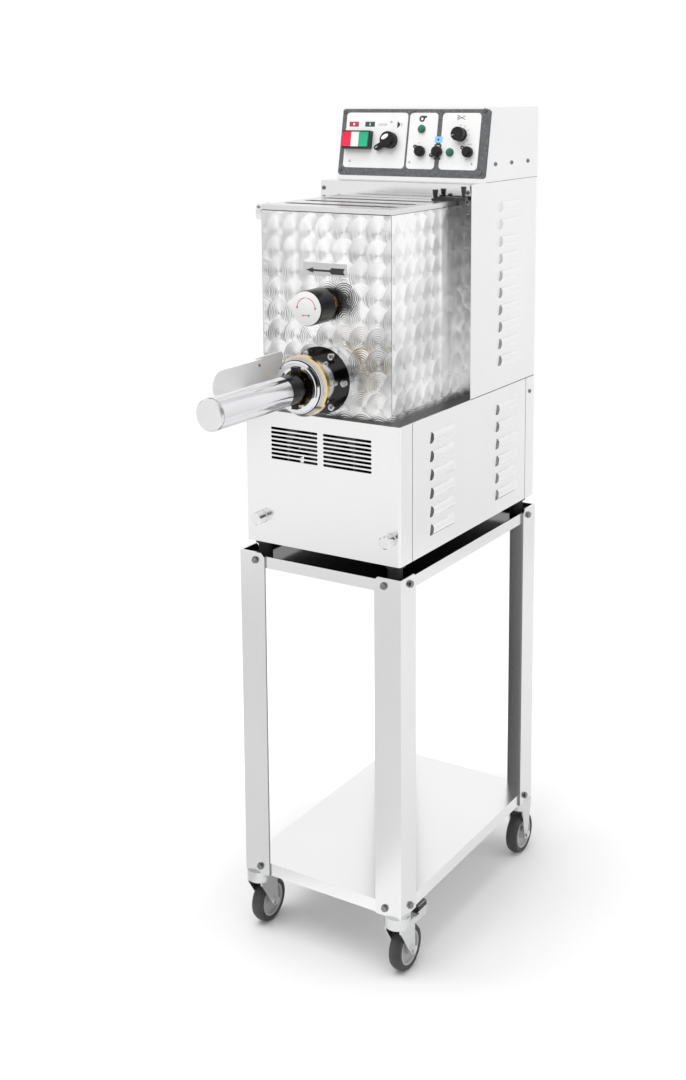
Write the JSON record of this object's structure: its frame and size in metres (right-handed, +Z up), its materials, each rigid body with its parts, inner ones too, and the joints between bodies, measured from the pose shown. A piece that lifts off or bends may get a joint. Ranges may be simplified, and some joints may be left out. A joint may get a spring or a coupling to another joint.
{
  "type": "electric pasta maker",
  "caption": "Floor-standing electric pasta extruder with mixing hopper, screw drive, rotary cutter, sloping control panel and wheeled stand.",
  "frame": {"origin": "centre of the bounding box at floor level, under the wheels", "axes": "+Z up, -Y towards the operator at the extruder head, +X to the operator's right"},
  "size_m": [0.2929, 0.729, 1.29],
  "materials": {
    "stainless": "brushed",
    "white_steel": "satin",
    "engine_turned": "engine turned",
    "chrome": "polished",
    "zinc": "zinc plated",
    "bronze": "machined",
    "black_plastic": "satin",
    "dark_panel": "speckled satin",
    "red_plastic": "gloss",
    "green_plastic": "gloss",
    "green_lens": "gloss",
    "rubber": "matte",
    "tyre": "matte",
    "knob_black": "gloss",
    "motor_paint": "satin",
    "gear_steel": "machined",
    "dark_screw": "black oxide",
    "frame_black": "satin"
  },
  "bodies": {
    "base": {"stand_legs": "white_steel", "top_rails": "white_steel", "shelf": "white_steel", "stand_bolts": "zinc", "rubber_feet": "rubber", "caster_mounts": "zinc", "fork_rear_left": "zinc", "fork_rear_right": "zinc", "chassis": "frame_black", "front_panel": "white_steel", "side_panels": "white_steel", "rear_panel": "white_steel", "column_front": "engine_turned", "column_casing": "white_steel", "control_box": "white_steel", "panel_frame": "dark_panel", "switch_body": "black_plastic", "pilot_lamps": "green_lens", "panel_screws": "dark_screw", "hopper_tub": "engine_turned", "hinge_pins": "dark_screw", "shaft_bushes": "bronze", "extruder_barrel": "chrome", "flange_bolts": "chrome", "die": "bronze", "cutter_hinge": "stainless", "drive_motor": "motor_paint", "fan_frame": "black_plastic", "cord_gland": "black_plastic"},
    "caster_front_left": {"fork_front_left": "zinc"},
    "caster_front_right": {"fork_front_right": "zinc"},
    "roller_front_left": {"wheel_front_left": "tyre"},
    "roller_front_right": {"wheel_front_right": "tyre"},
    "roller_rear_left": {"wheel_rear_left": "tyre"},
    "roller_rear_right": {"wheel_rear_right": "tyre"},
    "brake": {"brake_pedal": "zinc"},
    "left_knob": {"panel_knob_left": "chrome"},
    "right_knob": {"panel_knob_right": "chrome"},
    "stop": {"stop_button": "red_plastic"},
    "start": {"start_button": "green_plastic"},
    "selector": {"main_selector": "knob_black"},
    "dial": {"speed_dial": "knob_black"},
    "fan_switch": {"fan_knob": "knob_black"},
    "drive_switch": {"drive_knob": "knob_black"},
    "cutter_switch": {"cutter_knob": "knob_black"},
    "lid": {"hopper_lid": "stainless", "lid_arm": "black_plastic"},
    "mixer": {"mixer_shaft": "stainless", "mixer_gear": "gear_steel"},
    "mixer_lock": {"mixer_knob": "knob_black"},
    "screw": {"auger": "stainless", "auger_gear": "gear_steel"},
    "pinion": {"motor_pinion": "gear_steel"},
    "nut": {"die_ring": "chrome", "ring_nut": "bronze"},
    "cutter": {"cutter_tube": "chrome", "cutter_motor": "black_plastic", "cutter_guard": "stainless"},
    "knife": {"cutter_knife": "chrome"},
    "fan": {"fan_rotor": "black_plastic"}
  },
  "joints": [
    {"name": "front_left_swivel", "type": "hinge", "parent": "base", "child": "caster_front_left", "pos_m": [-0.1265, -0.0955, 0.06], "axis": [0, 0, 1], "continuous": true},
    {"name": "front_left_roll", "type": "hinge", "parent": "caster_front_left", "child": "roller_front_left", "pos_m": [-0.1265, -0.073, 0.0355], "axis": [1, 0, 0], "continuous": true},
    {"name": "rear_left_roll", "type": "hinge", "parent": "base", "child": "roller_rear_left", "pos_m": [-0.1265, 0.3275, 0.0355], "axis": [1, 0, 0], "continuous": true},
    {"name": "front_right_swivel", "type": "hinge", "parent": "base", "child": "caster_front_right", "pos_m": [0.1265, -0.0955, 0.06], "axis": [0, 0, 1], "continuous": true},
    {"name": "front_right_roll", "type": "hinge", "parent": "caster_front_right", "child": "roller_front_right", "pos_m": [0.1265, -0.073, 0.0355], "axis": [1, 0, 0], "continuous": true},
    {"name": "rear_right_roll", "type": "hinge", "parent": "base", "child": "roller_rear_right", "pos_m": [0.1265, 0.3275, 0.0355], "axis": [1, 0, 0], "continuous": true},
    {"name": "brake_press", "type": "hinge", "parent": "caster_front_right", "child": "brake", "pos_m": [0.1265, -0.056, 0.078], "axis": [-1, 0, 0], "range_deg": [0, 12]},
    {"name": "left_knob_turn", "type": "hinge", "parent": "base", "child": "left_knob", "pos_m": [-0.107, -0.1105, 0.6805], "axis": [0, -1, 0], "continuous": true},
    {"name": "right_knob_turn", "type": "hinge", "parent": "base", "child": "right_knob", "pos_m": [0.1185, -0.1105, 0.6805], "axis": [0, -1, 0], "continuous": true},
    {"name": "stop_press", "type": "slide", "parent": "base", "child": "stop", "axis": [0, 0.9826, -0.1857], "range_m": [0, 0.003], "stiffness_N_per_m": 400, "springref_m": -0.001},
    {"name": "start_press", "type": "slide", "parent": "base", "child": "start", "axis": [0, 0.9826, -0.1857], "range_m": [0, 0.003], "stiffness_N_per_m": 400, "springref_m": -0.001},
    {"name": "selector_turn", "type": "hinge", "parent": "base", "child": "selector", "pos_m": [-0.0395, 0.1746, 1.23841], "axis": [0, -0.9826, 0.1857], "range_deg": [-150, 0]},
    {"name": "dial_turn", "type": "hinge", "parent": "base", "child": "dial", "pos_m": [0.085, 0.17655, 1.24873], "axis": [0, -0.9826, 0.1857], "range_deg": [-270, 0]},
    {"name": "fan_switch_turn", "type": "hinge", "parent": "base", "child": "fan_switch", "pos_m": [0.017, 0.17154, 1.2222], "axis": [0, -0.9826, 0.1857], "range_deg": [-90, 0]},
    {"name": "drive_switch_turn", "type": "hinge", "parent": "base", "child": "drive_switch", "pos_m": [0.0475, 0.17154, 1.2222], "axis": [0, -0.9826, 0.1857], "range_deg": [-90, 90]},
    {"name": "cutter_switch_turn", "type": "hinge", "parent": "base", "child": "cutter_switch", "pos_m": [0.101, 0.17154, 1.2222], "axis": [0, -0.9826, 0.1857], "range_deg": [-90, 0]},
    {"name": "lid_open", "type": "hinge", "parent": "base", "child": "lid", "pos_m": [-0.1165, 0.0155, 1.149], "axis": [0, -1, 0], "range_deg": [0, 100]},
    {"name": "auger_turn", "type": "hinge", "parent": "base", "child": "screw", "pos_m": [0, -0.0005, 0.902], "axis": [0, -1, 0], "continuous": true},
    {"name": "mixer_turn", "type": "hinge", "parent": "base", "child": "mixer", "pos_m": [0, -0.0005, 1.012], "axis": [0, -1, 0], "continuous": true},
    {"name": "motor_turn", "type": "hinge", "parent": "base", "child": "pinion", "pos_m": [0, 0.1325, 0.84], "axis": [0, -1, 0], "continuous": true},
    {"name": "mixer_lock_turn", "type": "hinge", "parent": "base", "child": "mixer_lock", "pos_m": [0, -0.1005, 1.012], "axis": [0, -1, 0], "range_deg": [-90, 90]},
    {"name": "ring_nut_turn", "type": "hinge", "parent": "base", "child": "nut", "pos_m": [0, -0.1475, 0.902], "axis": [0, -1, 0], "continuous": true},
    {"name": "cutter_swing", "type": "hinge", "parent": "base", "child": "cutter", "pos_m": [-0.06, -0.0945, 0.902], "axis": [0, 0, -1], "range_deg": [0, 95]},
    {"name": "knife_spin", "type": "hinge", "parent": "cutter", "child": "knife", "pos_m": [0, -0.1645, 0.902], "axis": [0, -1, 0], "continuous": true},
    {"name": "fan_spin", "type": "hinge", "parent": "base", "child": "fan", "pos_m": [0, -0.0865, 0.7825], "axis": [0, -1, 0], "continuous": true}
  ],
  "couplings": [
    {"joint": "mixer_turn", "follows": "auger_turn", "ratio": -0.66667},
    {"joint": "motor_turn", "follows": "auger_turn", "ratio": -2.4444}
  ]
}
